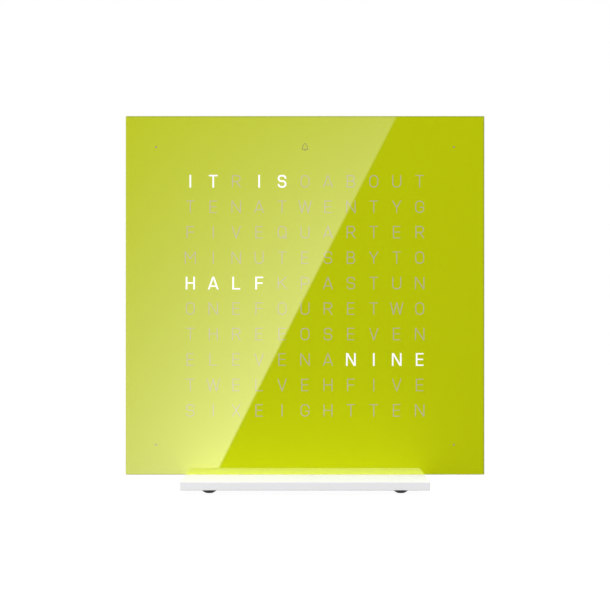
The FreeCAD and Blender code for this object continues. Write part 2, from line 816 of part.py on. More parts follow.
# ---------------------------------------------------------------- stand
def base_screw_places():
    """X of each screw that joins the base, plinth and frame."""
    return [(index - (base_screw_count - 1) / 2) * base_screw_spacing for index in range(base_screw_count)]


def make_plinth():
    """Spacer bar that lifts the frame until the cover's lower edge meets the base plate."""
    back = frame_back_y
    half = plinth_width / 2
    blank = box((-half, half), (back - plinth_depth, back), (base_top_z, frame_bottom_z))
    upright = [edge for edge in blank.Edges if abs(edge.tangentAt(edge.FirstParameter).z) > 0.9]
    blank = blank.makeChamfer(plinth_corner_bevel, upright)
    holes = []
    through = (base_top_z - past, frame_bottom_z + past)
    for x in base_screw_places():
        holes.append(rod_z(base_screw_hole_radius, through, x, nut_bar_mid_y))
    return blank.cut(holes)


def make_nut_bar():
    """Tapped steel bar on the frame's floor."""
    half = nut_bar_width / 2
    top = nut_bar_bottom_z + nut_bar_height
    bar = box((-half, half), nut_bar_span_y, (nut_bar_bottom_z, top))
    holes = []
    through = (nut_bar_bottom_z - past, top + past)
    for x in base_screw_places():
        holes.append(rod_z(base_screw_radius + screw_fit, through, x, nut_bar_mid_y))
    return bar.cut(holes)


def base_screw_cone(x, clearance):
    """The countersunk head of a base screw, widened by a clearance."""
    wide = base_screw_head_radius + clearance
    narrow = base_screw_radius + clearance
    return Part.makeCone(wide, narrow, base_screw_head_depth, Vector(x, nut_bar_mid_y, base_bottom_z))


def make_base_plate():
    """Flat plate with lightly broken edges and countersunk holes from below."""
    plate = box(
        (-base_width / 2, base_width / 2), (-base_depth / 2, base_depth / 2), (base_bottom_z, base_top_z)
    )
    plate = plate.makeChamfer(min(base_chamfer, base_thickness / 3), plate.Edges)
    cuts = []
    through = (base_bottom_z - past, base_top_z + past)
    for x in base_screw_places():
        cuts.append(rod_z(base_screw_hole_radius, through, x, nut_bar_mid_y))
        cuts.append(base_screw_cone(x, base_screw_hole_radius - base_screw_radius))
    return plate.cut(cuts)


def make_base_screws():
    """Countersunk screws up through the base, the plinth and the frame into the nut bar."""
    screws = []
    neck_z = base_bottom_z + base_screw_head_depth
    tip_z = nut_bar_bottom_z + nut_bar_height - base_screw_tip_gap
    for x in base_screw_places():
        shank = rod_z(base_screw_radius, (neck_z, tip_z), x, nut_bar_mid_y)
        seat = Vector(x, nut_bar_mid_y, base_bottom_z - past)
        socket = hexagon(drive_socket_across, seat, Vector(0, 0, 1), drive_socket_depth + past)
        screws.append(shank.fuse(base_screw_cone(x, 0.0)).cut(socket))
    return Part.makeCompound(screws)


def make_foot(side_x, side_y):
    """Tapered rubber bumper."""
    place = Vector(side_x * (base_width / 2 - foot_inset), side_y * (base_depth / 2 - foot_inset), 0)
    return Part.makeCone(foot_flat_diameter / 2, foot_diameter / 2, foot_height, place)


# ---------------------------------------------------------------- the whole clock
def build():
    """Every sub-part by name."""
    nodes = {
        "front_cover": make_front_cover(),
        "cover_tape": make_cover_tape(),
        "diffuser_sheet": make_diffuser_sheet(),
        "light_grid": make_light_grid(),
        "led_board": make_led_board(),
        "letter_leds": make_letter_leds(),
        "minute_leds": make_minute_leds(),
        "alarm_led": make_alarm_led(),
        "light_sensor": make_light_sensor(),
        "controller_chip": make_controller_chip(),
        "led_drivers": make_led_drivers(),
        "crystal": make_crystal(),
        "buzzer": make_buzzer(),
        "capacitors": make_capacitors(),
        "coin_cell": make_coin_cell(),
        "coin_cell_holder": make_coin_cell_holder(),
        "housing_frame": make_housing_frame(),
        "rear_cover": make_rear_cover(),
        "rear_cover_screws": make_cover_screws(),
        "board_pads": make_board_pads(),
        "button_switches": make_button_switches(),
        "snooze_key": make_snooze_key(),
        "snooze_plunger": make_snooze_plunger(),
        "snooze_switch": make_snooze_switch(),
        "snooze_spring": make_snooze_spring(),
        "power_jack": make_power_jack(),
        "jack_pin": make_jack_pin(),
        "plinth": make_plinth(),
        "nut_bar": make_nut_bar(),
        "base_plate": make_base_plate(),
        "base_screws": make_base_screws(),
    }
    for index, name in enumerate(button_names):
        nodes[f"{name}_button"] = make_button(index)
        nodes[f"{name}_plunger"] = make_button_plunger(index)
    for depth_name, side_y in (("front", -1), ("rear", 1)):
        for side_name, side_x in (("left", -1), ("right", 1)):
            nodes[f"foot_{depth_name}_{side_name}"] = make_foot(side_x, side_y)
    return nodes


os.makedirs("parts", exist_ok=True)
for node, shape in build().items():
    if not shape.isValid() or not shape.Solids:
        raise RuntimeError(f"{node} is not a valid solid")
    shape.exportStep(f"parts/{node}.step")
    print(f"{node}: {len(shape.Solids)} solid(s), {shape.Volume:.1f} mm3")
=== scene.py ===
# %% [markdown]
# # Dressing a table word clock
#
# The clock is a square acrylic face over a grid of lit letters, on a slim metal housing with a
# small base plate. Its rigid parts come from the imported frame, already in place and in metres.
# Blender adds what a drawing office leaves out: the letters, the bumpers' rounding, the printed
# signs, the finishes and the studio. We load the frame first, so every new piece can be measured
# from it.

# %% Load the frame
import json
import math

import bpy
import numpy as np
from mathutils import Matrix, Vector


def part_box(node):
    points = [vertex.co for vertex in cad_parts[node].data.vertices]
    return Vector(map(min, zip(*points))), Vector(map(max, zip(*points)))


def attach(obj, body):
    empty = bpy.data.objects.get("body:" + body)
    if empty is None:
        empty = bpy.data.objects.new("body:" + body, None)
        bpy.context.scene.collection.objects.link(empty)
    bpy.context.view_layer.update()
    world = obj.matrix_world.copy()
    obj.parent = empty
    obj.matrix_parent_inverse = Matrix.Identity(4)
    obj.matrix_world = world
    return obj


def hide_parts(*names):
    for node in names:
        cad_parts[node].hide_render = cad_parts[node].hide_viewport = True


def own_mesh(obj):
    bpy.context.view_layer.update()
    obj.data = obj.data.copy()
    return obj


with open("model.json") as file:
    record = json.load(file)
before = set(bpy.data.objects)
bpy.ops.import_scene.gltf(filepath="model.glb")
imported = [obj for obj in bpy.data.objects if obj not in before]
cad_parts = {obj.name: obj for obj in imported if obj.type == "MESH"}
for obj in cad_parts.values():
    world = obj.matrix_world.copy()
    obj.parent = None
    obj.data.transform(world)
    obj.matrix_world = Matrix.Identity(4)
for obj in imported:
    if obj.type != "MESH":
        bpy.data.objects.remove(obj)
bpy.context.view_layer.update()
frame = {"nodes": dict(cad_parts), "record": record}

mm = 0.001
cover_low, cover_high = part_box("front_cover")
face_y = cover_low.y
face_middle_z = (cover_low.z + cover_high.z) / 2
half_face = (cover_high.x - cover_low.x) / 2
print("frame loaded:", len(frame["nodes"]), "nodes, face", round(2 * half_face / mm, 1), "mm wide")

# %% [markdown]
# ## Wiring shader nodes
#
# A material is a small circuit: nodes with input sockets that take either a plain value or a wire
# from another node. Wiring them one by one fills a script with lines that say little, so we start
# with two helpers that make a node and fill its sockets, and a third for sums and products.

# %% Node helpers


def feed(tree, node, *in_order, **by_name):
    """Fills a node's inputs in order and by name, where _ stands for a space in the name.

    A socket is linked there, and a plain value is written there. Returns the node.
    """
    named = {label.replace("_", " "): value for label, value in by_name.items()}
    for label, value in [*enumerate(in_order), *named.items()]:
        if isinstance(value, bpy.types.NodeSocket):
            tree.links.new(value, node.inputs[label])
        else:
            node.inputs[label].default_value = value
    return node


def new_node(tree, kind, *in_order, **by_name):
    """A shader node of the given kind, with its inputs filled."""
    return feed(tree, tree.nodes.new("ShaderNode" + kind), *in_order, **by_name)


def math_node(tree, operation, *sources, clamp=False):
    """A Math node on sockets or plain numbers. Returns its output socket."""
    node = new_node(tree, "Math", *sources)
    node.operation = operation
    node.use_clamp = clamp
    return node.outputs[0]


print("node helpers ready")

# %% [markdown]
# ## Shared surface effects
#
# Nearly every finish on the clock has a fine grain: powder coat has a soft orange peel, moulded
# plastic a spark-eroded texture, blasted metal a frosted one. Each material could have noises of
# its own, but a node group that makes the grain from two noises keeps the effect in one place. Each
# material gives it its own scale and colour, and the shader itself stays in the material.

# %% Grain group
cloud_share = 0.035          # the clouds' scale as a share of the fine grain's
fine_weight = 0.6            # the fine grain's part of the blend, and the rest is the clouds'
noise_middle = 0.5


def new_group(name, inputs, outputs):
    """An empty shader node group with named sockets, and its input and output nodes."""
    group = bpy.data.node_groups.new(name, "ShaderNodeTree")
    for kind, label in inputs:
        group.interface.new_socket(label, in_out="INPUT", socket_type="NodeSocket" + kind)
    for kind, label in outputs:
        group.interface.new_socket(label, in_out="OUTPUT", socket_type="NodeSocket" + kind)
    return group, group.nodes.new("NodeGroupInput"), group.nodes.new("NodeGroupOutput")


grain_group, grain_in, grain_out = new_group(
    "surface_grain",
    [("Vector", "Vector"), ("Color", "Colour"), ("Float", "Scale"), ("Float", "Tint"),
     ("Float", "Roughness"), ("Float", "Roughness Spread")],
    [("Color", "Colour"), ("Float", "Roughness"), ("Float", "Height")],
)
given = grain_in.outputs
cloud_scale = math_node(grain_group, "MULTIPLY", given["Scale"], cloud_share)
fine = new_node(grain_group, "TexNoise", Vector=given["Vector"], Scale=given["Scale"],
                Detail=3.0, Roughness=0.55).outputs["Fac"]
cloud = new_node(grain_group, "TexNoise", Vector=given["Vector"], Scale=cloud_scale,
                 Detail=2.0, Roughness=0.5).outputs["Fac"]
blend = math_node(grain_group, "ADD", math_node(grain_group, "MULTIPLY", fine, fine_weight),
                  math_node(grain_group, "MULTIPLY", cloud, 1 - fine_weight))
centred = math_node(grain_group, "SUBTRACT", blend, noise_middle)
shade = math_node(grain_group, "ADD",
                  math_node(grain_group, "MULTIPLY", centred, given["Tint"]), 1.0)
tint = new_node(grain_group, "VectorMath")
tint.operation = "SCALE"
feed(grain_group, tint, given["Colour"], Scale=shade)
spread = math_node(grain_group, "MULTIPLY", centred, given["Roughness Spread"])
rough = math_node(grain_group, "ADD", given["Roughness"], spread, clamp=True)
feed(grain_group, grain_out, Colour=tint.outputs[0], Roughness=rough, Height=fine)
print("group", grain_group.name, "with", len(grain_group.nodes), "nodes")

# %% [markdown]
# ## A maker for plain finishes
#
# A finish is a Principled shader with the grain group in front of it. The number that is the same
# all over, such as the index of refraction or the coat, is written on the shader's own socket. The
# grain reads Object coordinates, and since every piece's object sits at the origin, one metre of
# pattern is one metre of clock on all of them.

# %% Finish maker


def linear(red, green, blue):
    """An 8-bit screen colour as linear light: ((c + 0.055) / 1.055) to the power 2.4."""
    share = np.array((red, green, blue)) / 255.0
    light = np.where(share <= 0.04045, share / 12.92, ((share + 0.055) / 1.055) ** 2.4)
    return tuple(float(value) for value in light)


def start_material(name):
    """A material with its Principled shader and Object coordinates ready."""
    material = bpy.data.materials.new(name)
    material.use_nodes = True
    tree = material.node_tree
    where = new_node(tree, "TexCoord").outputs["Object"]
    return material, tree, tree.nodes["Principled BSDF"], where


def place_grain(tree, where, colour, roughness, scale, tint_amount, rough_spread):
    """The grain group in a material, with its own values. Returns the group's outputs."""
    grain = tree.nodes.new("ShaderNodeGroup")
    grain.node_tree = grain_group
    return feed(tree, grain, Vector=where, Colour=(*colour, 1.0), Scale=scale, Tint=tint_amount,
                Roughness=roughness, Roughness_Spread=rough_spread).outputs


def add_bump(tree, shader, height, depth):
    """Feeds a height through a Bump node into the shader's normal. depth is in metres."""
    bump = new_node(tree, "Bump", Strength=1.0, Distance=depth, Height=height)
    feed(tree, shader, Normal=bump.outputs["Normal"])


def grained(name, colour, roughness, scale, tint_amount, rough_spread, depth=8e-6, stretch=None,
            **sockets):
    """A finish with grain. stretch draws the pattern out along an axis, for brushed metal."""
    material, tree, shader, where = start_material(name)
    if stretch:
        where = new_node(tree, "Mapping", Vector=where, Scale=stretch).outputs["Vector"]
    grain = place_grain(tree, where, colour, roughness, scale, tint_amount, rough_spread)
    feed(tree, shader, Base_Color=grain["Colour"], Roughness=grain["Roughness"], **sockets)
    add_bump(tree, shader, grain["Height"], depth)
    return material


print("finish maker ready")

# %% [markdown]
# ## The plain finishes
#
# Base plate and plinth are powder coated, the housing is brushed aluminium and its rear cover is
# blasted. Inside are the usual plastics, cans and plated steel of a circuit board. They could have
# a cell each, but they differ only in numbers, so they are the rows of one table, under the names
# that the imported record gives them. A brushed finish is the same grain, drawn out along one axis.

# %% Plain finishes
# each row: name, colour, roughness, grain scale, tint, roughness spread and depth of the grain
finishes = {
    "base_metal": grained("white_powder_coat", (0.86, 0.86, 0.875), 0.6, 1400, 0.02, 0.12, 6e-6,
                          Specular_IOR_Level=0.05),
    "plinth_metal": grained("white_powder_coat_plinth", (0.8, 0.8, 0.8), 0.55, 1400, 0.03, 0.12,
                            6e-6),
    "housing_metal": grained("brushed_anodised", (0.62, 0.63, 0.64), 0.3, 5200, 0.22, 0.25, 5e-6,
                             stretch=(0.012, 1, 0.012), Metallic=1.0),
    "cover_metal": grained("blasted_anodised", (0.6, 0.61, 0.62), 0.42, 5200, 0.12, 0.15, 7e-6,
                           Metallic=1.0),
    "screw_steel": grained("zinc_plate", (0.5, 0.5, 0.5), 0.32, 3000, 0.15, 0.2, 4e-6,
                           Metallic=1.0),
    "button_plastic": grained("white_key_plastic", (0.8, 0.8, 0.79), 0.42, 3200, 0.03, 0.12, 6e-6),
    "socket_plastic": grained("black_socket_plastic", (0.02, 0.02, 0.02), 0.4, 3000, 0.2, 0.15),
    "contact_metal": grained("plated_contact", (0.8, 0.74, 0.55), 0.22, 3000, 0.08, 0.1, 2e-6,
                             Metallic=1.0),
    "foam_tape": grained("foam_tape", (0.02, 0.02, 0.02), 0.9, 1800, 0.5, 0.1, 6e-5),
    "diffuser_film": grained("milky_film", (0.86, 0.87, 0.85), 0.6, 2500, 0.02, 0.05, 2e-6),
    "white_moulding": grained("white_moulding", (0.84, 0.84, 0.82), 0.5, 2500, 0.04, 0.1),
    "led_body": grained("led_package", (0.86, 0.82, 0.6), 0.3, 6000, 0.1, 0.1, 4e-6),
    "sensor_body": grained("dark_clear_package", (0.03, 0.03, 0.035), 0.12, 6000, 0.1, 0.05, 2e-6,
                           Coat_Weight=0.6),
    "chip_body": grained("chip_package", (0.015, 0.015, 0.017), 0.55, 6000, 0.3, 0.15, 1e-5),
    "crystal_can": grained("nickelled_can", (0.6, 0.6, 0.6), 0.25, 3500, 0.1, 0.15, 3e-6,
                           Metallic=1.0),
    "buzzer_body": grained("buzzer_case", (0.02, 0.02, 0.02), 0.5, 3000, 0.2, 0.1),
    "capacitor_can": grained("drawn_can", (0.7, 0.71, 0.72), 0.25, 4200, 0.12, 0.2, 3e-6,
                             stretch=(1, 0.02, 1), Metallic=1.0),
    "cell_case": grained("cell_case", (0.62, 0.62, 0.62), 0.2, 3500, 0.08, 0.12, 3e-6,
                         Metallic=1.0),
    "clip_steel": grained("spring_clip", (0.5, 0.5, 0.48), 0.3, 3500, 0.1, 0.15, 3e-6,
                          Metallic=1.0),
    "switch_body": grained("switch_plastic", (0.03, 0.03, 0.03), 0.45, 3000, 0.2, 0.12),
    "spring_steel": grained("spring_strip", (0.55, 0.55, 0.54), 0.28, 4200, 0.15, 0.2, 3e-6,
                            stretch=(0.02, 1, 1), Metallic=1.0),
    "bumper_rubber": grained("bumper_rubber", (0.036, 0.036, 0.037), 0.6, 2600, 0.25, 0.15, 1e-5,
                             Specular_IOR_Level=0.35),
}
print(len(finishes), "grained finishes")

# %% [markdown]
# ## The circuit board
#
# A board has copper tracks under its green lacquer: long parallel lines a fraction of a millimetre
# wide, a little lighter than the ground. A brick texture with very long bricks draws such lines
# without any picture, and its mortar becomes the tracks.

# %% Circuit board finish
track_width = 0.22 * mm
track_pitch = 1.4 * mm
track_length = 34 * mm
track_height = 0.02 * mm

board_finish, tree, shader, where = start_material("lacquered_board")
turn = new_node(tree, "Mapping", Vector=where, Rotation=(math.pi / 2, 0, 0))
tracks = new_node(tree, "TexBrick", Vector=turn.outputs["Vector"], Scale=1.0,
                  Color1=(0.01, 0.06, 0.03, 1), Color2=(0.012, 0.066, 0.033, 1),
                  Mortar=(0.03, 0.13, 0.06, 1), Mortar_Size=track_width, Mortar_Smooth=0.2,
                  Brick_Width=track_length, Row_Height=track_pitch)
feed(tree, shader, Base_Color=tracks.outputs["Color"], Roughness=0.3)
add_bump(tree, shader, tracks.outputs["Fac"], track_height)
finishes["circuit_board"] = board_finish
print("board finish:", board_finish.name)

# %% [markdown]
# ## The lime face
#
# The face is a 3 mm clear acrylic sheet with a lime coat on its back. Seen from the front that is
# a saturated colour under a mirror-smooth clear skin. A truly clear sheet would be slow to render
# and noisy, so the shader is a coated Principled. At the sheet's rim the light would run through
# clear acrylic and give the polished bevel a thin line, and that line is painted into the colour:
# painted shade along the top and the right, a painted highlight along the left and, lightest of
# all, a painted reflection of the white plate at the foot. Painted shade also darkens the face
# beside the top and the right sides. The sheet's back has no gloss. All this is painted by where
# the point lies on the sheet, worked out from Object coordinates.

# %% Lime acrylic finish
lime = linear(195, 206, 13)
# rim colours of painted light: painted shade, painted highlight and painted reflection of the plate
rim_painted_shade = linear(110, 119, 14)
rim_painted_highlight = linear(204, 214, 70)
rim_painted_reflection = linear(255, 255, 170)
rim_band = 0.2 * mm
rim_gain = 10 / mm           # a rim's mask is full after a tenth of a millimetre
shade_band = 0.75 * mm
shade_gain = 0.73 / mm
matt_roughness = 0.5
clear_skin = {"IOR": 1.65, "Coat_IOR": 1.6, "Coat_Roughness": 0.004}


def beyond(tree, value, limit, gain):
    """A mask that is 0 up to limit and then grows by gain for each metre, to 1 at most."""
    return math_node(tree, "MULTIPLY", math_node(tree, "SUBTRACT", value, limit), gain, clamp=True)


def strongest(tree, first, *others):
    """The largest of a few masks."""
    for other in others:
        first = math_node(tree, "MAXIMUM", first, other)
    return first


def mixed(tree, first, second, mask):
    """The colour first where mask is 0, and the plain colour second where it is 1.

    A Mix node's colours are its inputs 6 and 7 and its output 2, and its factor is input 0.
    """
    node = tree.nodes.new("ShaderNodeMix")
    node.data_type = "RGBA"
    tree.links.new(mask, node.inputs[0])
    tree.links.new(first, node.inputs[6])
    node.inputs[7].default_value = (*second, 1.0)
    return node.outputs[2]


lime_finish, tree, shader, where = start_material("lime_acrylic")
grain = place_grain(tree, where, lime, roughness=0.012, scale=900.0, tint_amount=0.05,
                    rough_spread=0.01)
x, y, z = new_node(tree, "SeparateXYZ", where).outputs
minus_x = math_node(tree, "MULTIPLY", x, -1.0)
minus_z = math_node(tree, "MULTIPLY", z, -1.0)
right_rim = beyond(tree, x, half_face - rim_band, rim_gain)
left_rim = beyond(tree, minus_x, half_face - rim_band, rim_gain)
top_rim = beyond(tree, z, cover_high.z - rim_band, rim_gain)
low_rim = beyond(tree, minus_z, -cover_low.z - rim_band, rim_gain)
back_coat = beyond(tree, y, cover_high.y - rim_band, rim_gain)
# painted shade on the top and right rims and on the face beside them
painted_shade_part = strongest(tree, right_rim, top_rim,
                      beyond(tree, x, half_face - shade_band, shade_gain),
                      beyond(tree, z, cover_high.z - shade_band, shade_gain))
matt_part = strongest(tree, right_rim, top_rim, left_rim, low_rim, back_coat)
# a painted highlight on the left rim and a painted reflection of the plate on the low rim
with_painted_light = mixed(tree, mixed(tree, grain["Colour"], rim_painted_highlight, left_rim), rim_painted_reflection, low_rim)
matt_gain = math_node(tree, "MULTIPLY", matt_part, matt_roughness)
feed(tree, shader, Base_Color=mixed(tree, with_painted_light, rim_painted_shade, painted_shade_part),
     Roughness=math_node(tree, "ADD", grain["Roughness"], matt_gain),
     Coat_Weight=math_node(tree, "SUBTRACT", 1.0, matt_part), **clear_skin)
finishes["lime_acrylic"] = lime_finish
print("lime face: linear colour", [round(value, 3) for value in lime])

# %% [markdown]
# ## Windows in the lime coat
#
# Each letter is a window in the coat, with the milky film behind it. Dark windows look a pale
# warm grey, and those with their LED on glow white. Both lie under the same clear skin, so their
# shaders have the face's gloss and differ only below it.

# %% Window finishes


def window(name, colour, glow=0.0):
    """The film seen through the clear acrylic, with an even white glow of strength glow."""
    material, tree, shader, where = start_material(name)
    grain = place_grain(tree, where, colour, roughness=0.012, scale=1800.0, tint_amount=0.05,
                        rough_spread=0.01)
    feed(tree, shader, Base_Color=grain["Colour"], Roughness=grain["Roughness"], Coat_Weight=1.0,
         Emission_Color=(1.0, 1.0, 1.0, 1.0), Emission_Strength=glow, **clear_skin)
    return material


dark_window = window("window_dark", linear(195, 188, 163))
dot_window = window("window_dot", linear(170, 165, 112))
bell_window = window("window_bell", linear(152, 152, 70))
lit_window = window("window_lit", (0.5, 0.5, 0.5), glow=0.62)
print("windows:", dark_window.name, dot_window.name, bell_window.name, lit_window.name)

# %% [markdown]
# ## Letters as ribbons
#
# The letters are plain monoline capitals: every stroke has the same width. So a letter needs no
# font file. It is a few centre lines, given as corner points with a rounding radius, and a ribbon
# of constant width swept along each. We first make the lines.

# %% Lines with rounded corners
arc_steps = 7
same_place = 1e-7            # points nearer than this to the one before are left out


def rounded_line(corners, closed=False):
    """Points of a line through corners (x, z, radius).

    A corner with a radius becomes an arc: its two tangent points lie radius / tan(half the inside
    angle) back along the legs, its centre on the bisector, and its points are
    centre + radius * (cos a, sin a) with a running evenly between the two tangent directions.
    """
    spots = np.array([corner[:2] for corner in corners], float)
    radii = [corner[2] if len(corner) > 2 else 0.0 for corner in corners]
    pieces = []
    for index, radius in enumerate(radii):
        here = spots[index]
        inner = closed or 0 < index < len(radii) - 1
        if not inner or radius <= 0:
            pieces.append(here[None, :])
            continue
        back = spots[index - 1] - here
        ahead = spots[(index + 1) % len(spots)] - here
        back = back / np.linalg.norm(back)
        ahead = ahead / np.linalg.norm(ahead)
        half_angle = math.acos(np.clip(back @ ahead, -1, 1)) / 2
        bisector = (back + ahead) / np.linalg.norm(back + ahead)
        centre = here + bisector * radius / math.sin(half_angle)
        first = here + back * radius / math.tan(half_angle) - centre
        last = here + ahead * radius / math.tan(half_angle) - centre
        start = math.atan2(first[1], first[0])
        sweep = (math.atan2(last[1], last[0]) - start + math.pi) % (2 * math.pi) - math.pi
        angles = start + sweep * np.linspace(0, 1, arc_steps)
        pieces.append(centre + radius * np.stack([np.cos(angles), np.sin(angles)], 1))
    line = np.concatenate(pieces)
    gaps = np.linalg.norm(line - np.roll(line, 1, axis=0), axis=1)
    keep = gaps > same_place
    keep[0] = keep[0] or not closed
    return line[keep]


print("one rounded corner:", len(rounded_line([(0, 0), (1, 0, 0.5), (1, 1)])), "points")

# %% [markdown]
# ## From a line to a flat bar
#
# A ribbon's borders run half its width to the left and right of the line. A plain offset would
# thin the ribbon in its corners, so each border point lies on the mitre, as a picture frame is cut.
# The bar's section is then a ring of four points at every point of the line, and neighbouring
# rings are joined by quads.

# %% Ribbon helpers
steep = 0.5                  # a leg that rises by more than this share of its run is cut level
stroke_lift = 0.001 * mm     # each stroke of a letter lies this much above the one before


def ribbon_sides(line, width, closed=False):
    """The left and right border of a ribbon along line.

    At each point the border lies half a width along the mitre, (n1 + n2) / (1 + n1.n2), of the
    normals of the two legs that meet there. A single steep leg is cut level at both ends, as a
    sign maker cuts it, so its offset is level: half a width times length over rise.
    """
    leg = line[1] - line[0]
    if len(line) == 2 and abs(leg[1]) > steep * abs(leg[0]) > 0:
        level = np.array([[-math.copysign(1, leg[1]), 0.0]])
        offset = level * width / 2 * np.linalg.norm(leg) / abs(leg[1])
        return line + offset, line - offset
    legs = np.roll(line, -1, axis=0) - line
    if not closed:
        legs[-1] = legs[-2]
    normals = np.stack([-legs[:, 1], legs[:, 0]], 1) / np.linalg.norm(legs, axis=1)[:, None]
    before = np.roll(normals, 1, axis=0)
    if not closed:
        before[0] = normals[0]
    mitre = (normals + before) / (1 + (normals * before).sum(1))[:, None]
    return line + mitre * width / 2, line - mitre * width / 2


def joined_rings(count, size, closed=False):
    """Faces over count rings of size points each, where point p of ring r is r * size + p.

    A quad joins a point and its neighbour to the same two on the next ring, and a row that isn't
    closed gets its first and last ring as caps. Each ring runs counter-clockwise about the way
    from ring to ring, and then all faces point outwards.
    """
    ring = np.arange(count if closed else count - 1)[:, None] * size
    after = (ring + size) % (count * size)
    point = np.arange(size)[None, :]
    beside = (point + 1) % size
    faces = np.stack([ring + point, ring + beside, after + beside, after + point],
                     2).reshape(-1, 4).tolist()
    if not closed:
        cap = np.arange(size)
        faces += [cap[::-1].tolist(), (cap + (count - 1) * size).tolist()]
    return faces


def ribbon_solid(line, width, front_y, back_y, closed=False):
    """Vertices and faces of a flat closed bar: the profile left-front, right-front, right-back,
    left-back carried along the line, with its two ends capped."""
    left, right = ribbon_sides(line, width, closed)
    profile = ((left, front_y), (right, front_y), (right, back_y), (left, back_y))
    rings = np.stack([np.stack([side[:, 0], np.full(len(side), y), side[:, 1]], 1)
                      for side, y in profile], 1)
    return rings.reshape(-1, 3), joined_rings(len(line), len(profile), closed)


print("a straight bar has", len(joined_rings(2, 4)), "faces")

# %% [markdown]
# ## The alphabet
#
# The glyphs are listed as strokes. A glyph is one cap height tall and centred on nought. `h` is
# half the stroke's width as a share of the cap height, so the same list gives the thin dark letters
# and the bolder lit ones: a curve that touches the top or the foot line has its centre line h
# inside it. A level bar looks heavier to the eye than a stem, so sign makers draw it thinner, by
# bar_share. Its centre line lies bar_share * h inside.

# %% Glyphs
bar_share = 0.84
nearly_half = 0.499          # two arcs of this share of a bowl's height leave a little between them


def alphabet(h):
    """Strokes of each capital, as (corner points, closed), for half a stroke's width h."""
    top = 0.5 - h
    crown = 0.5 - bar_share * h

    def stem(x):
        return [(x, -0.5), (x, 0.5)]

    def bar(x0, x1, z):
        return [(x0, z), (x1, z)]

    def slant(x0, z0, x1, z1):
        return [(x0, z0), (x1, z1)]

    def bowl(x0, x1, high, low, radius):
        radius = min(radius, nearly_half * (high - low))
        return [(x0, high), (x1, high, radius), (x1, low, radius), (x0, low)]

    side = 0.36 - h
    turn = min(0.3, side - 0.001)
    ring = [(side, top, turn), (-side, top, turn), (-side, -top, turn), (side, -top, turn)]
    snake = 0.34 - h
    coil = nearly_half * (top - 0.01)
    lean = 0.5 * h
    glyphs = {
        "A": [slant(-0.39 + lean, -0.5, -0.1 * h, 0.5), slant(0.39 - lean, -0.5, 0.1 * h, 0.5),
              bar(-0.28, 0.28, -0.24)],
        "B": [stem(h - 0.33), bowl(h - 0.33, 0.31 - h, top, 0.02, 0.2),
              bowl(h - 0.33, 0.34 - h, 0.02, -top, 0.22)],
        "E": [stem(h - 0.3), bar(-0.3, 0.3, crown), bar(-0.3, 0.27, 0.01),
              bar(-0.3, 0.3, -crown)],
        "F": [stem(h - 0.3), bar(-0.3, 0.32, crown), bar(-0.3, 0.28, 0.0)],
        "G": [[(side, top - turn - 0.02)] + ring + [(side, -0.05), (0.02, -0.05)]],
        "H": [stem(-side), stem(side), bar(-side, side, 0.01)],
        "I": [stem(0.0)],
        "K": [stem(h - 0.35), slant(h - 0.35, -0.1, 0.34, 0.5), slant(-0.1, 0.12, 0.36, -0.5)],
        "L": [stem(h - 0.3), bar(-0.3, 0.32, -crown)],
        "M": [stem(h - 0.45), stem(0.45 - h), slant(h - 0.45, 0.5, 0.0, -0.1),
              slant(0.45 - h, 0.5, 0.0, -0.1)],
        "N": [stem(h - 0.38), stem(0.38 - h), slant(1.4 * h - 0.38, 0.5, 0.38 - 1.4 * h, -0.5)],
        "P": [stem(h - 0.34), bowl(h - 0.34, 0.35 - h, top, -0.06, 0.25)],
        "R": [stem(h - 0.34), bowl(h - 0.34, 0.35 - h, top, -0.02, 0.24),
              slant(0.02, -0.02, 0.35, -0.5)],
        "S": [[(snake, top - coil - 0.02), (snake, top, coil), (-snake, top, coil),
               (-snake, 0.01, coil), (snake, 0.01, coil), (snake, -top, coil),
               (-snake, -top, coil), (-snake, -top + coil + 0.02)]],
        "T": [bar(-0.345, 0.345, crown), stem(0.0)],
        "U": [[(-side, 0.5), (-side, -top, 0.29 - h / 2), (side, -top, 0.29 - h / 2), (side, 0.5)]],
        "V": [slant(lean - 0.36, 0.5, -0.1 * h, -0.5), slant(0.36 - lean, 0.5, 0.1 * h, -0.5)],
        "W": [slant(lean - 0.52, 0.5, -0.26, -0.5), slant(0.0, 0.5, -0.26, -0.5),
              slant(0.0, 0.5, 0.26, -0.5), slant(0.52 - lean, 0.5, 0.26, -0.5)],
        "X": [slant(-0.32, 0.5, 0.32, -0.5), slant(0.32, 0.5, -0.32, -0.5)],
        "Y": [slant(lean - 0.36, 0.5, 0.0, -0.06), slant(0.36 - lean, 0.5, 0.0, -0.06),
              [(0.0, -0.5), (0.0, 0.0)]],
    }
    table = {letter: [(stroke, False) for stroke in strokes] for letter, strokes in glyphs.items()}
    table["O"] = [(ring, True)]
    table["Q"] = [(ring, True), (slant(0.06, -0.24, 0.36, -0.54), False)]
    return table


print("letters drawn:", "".join(sorted(alphabet(0.045))))

# %% [markdown]
# ## From arrays to a piece
#
# A piece is one mesh object that rides on a body of the clock. Moving the object to its place would
# make its pattern slide against its neighbours', so its place is in its mesh and the object stays
# at the origin.

# %% Piece maker


def add_piece(name, parts, body, material, smooth=False):
    """Joins (vertices, faces) parts into one mesh object that rides on a body."""
    points = []
    faces = []
    start = 0
    for part_points, part_faces in parts:
        points.append(part_points)
        faces += [[start + index for index in face] for face in part_faces]
        start += len(part_points)
    mesh = bpy.data.meshes.new(name)
    mesh.from_pydata(np.concatenate(points).tolist(), [], faces)
    mesh.update()
    mesh.polygons.foreach_set("use_smooth", np.full(len(mesh.polygons), smooth))
    mesh.materials.append(material)
    piece = bpy.data.objects.new(name, mesh)
    bpy.context.scene.collection.objects.link(piece)
    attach(piece, body)
    return piece


print("piece maker ready")

# %% [markdown]
# ## The letter matrix
#
# Eleven columns and ten rows hold the plain words that tell the time, with a stray letter where a
# row has room left. The words that are on read "it is half nine". All the dark letters are one
# piece and all the lit ones another, because each group has one finish.

